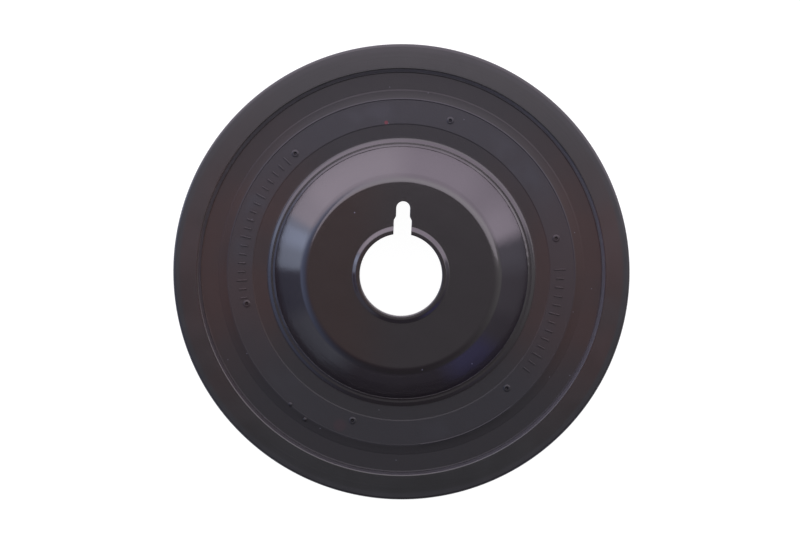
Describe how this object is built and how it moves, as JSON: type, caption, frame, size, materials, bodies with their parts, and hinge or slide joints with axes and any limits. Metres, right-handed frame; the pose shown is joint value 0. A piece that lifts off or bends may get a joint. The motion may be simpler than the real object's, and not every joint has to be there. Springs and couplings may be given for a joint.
{
  "type": "harmonic balancer",
  "caption": "Crankshaft vibration damper pulley: pressed hat-shaped hub with a bore and stepped key slot, wide moulded rubber spring and a turned belt ring with grooves.",
  "frame": {"origin": "on the shaft axis, in the plane of the belt ring's rear face, on which the part lies", "axes": "+Z along the shaft axis from the crankshaft towards the front of the hub's hat; +Y through the key slot"},
  "size_m": [0.168, 0.168, 0.0382],
  "materials": {
    "gloss_black_steel": "gloss black paint on pressed steel",
    "black_rubber": "moulded black rubber, dull",
    "matt_black_steel": "matt black coat on turned steel"
  },
  "bodies": {
    "root": {"hub": "gloss_black_steel", "rubber_spring": "black_rubber", "belt_ring": "matt_black_steel"}
  },
  "joints": []
}
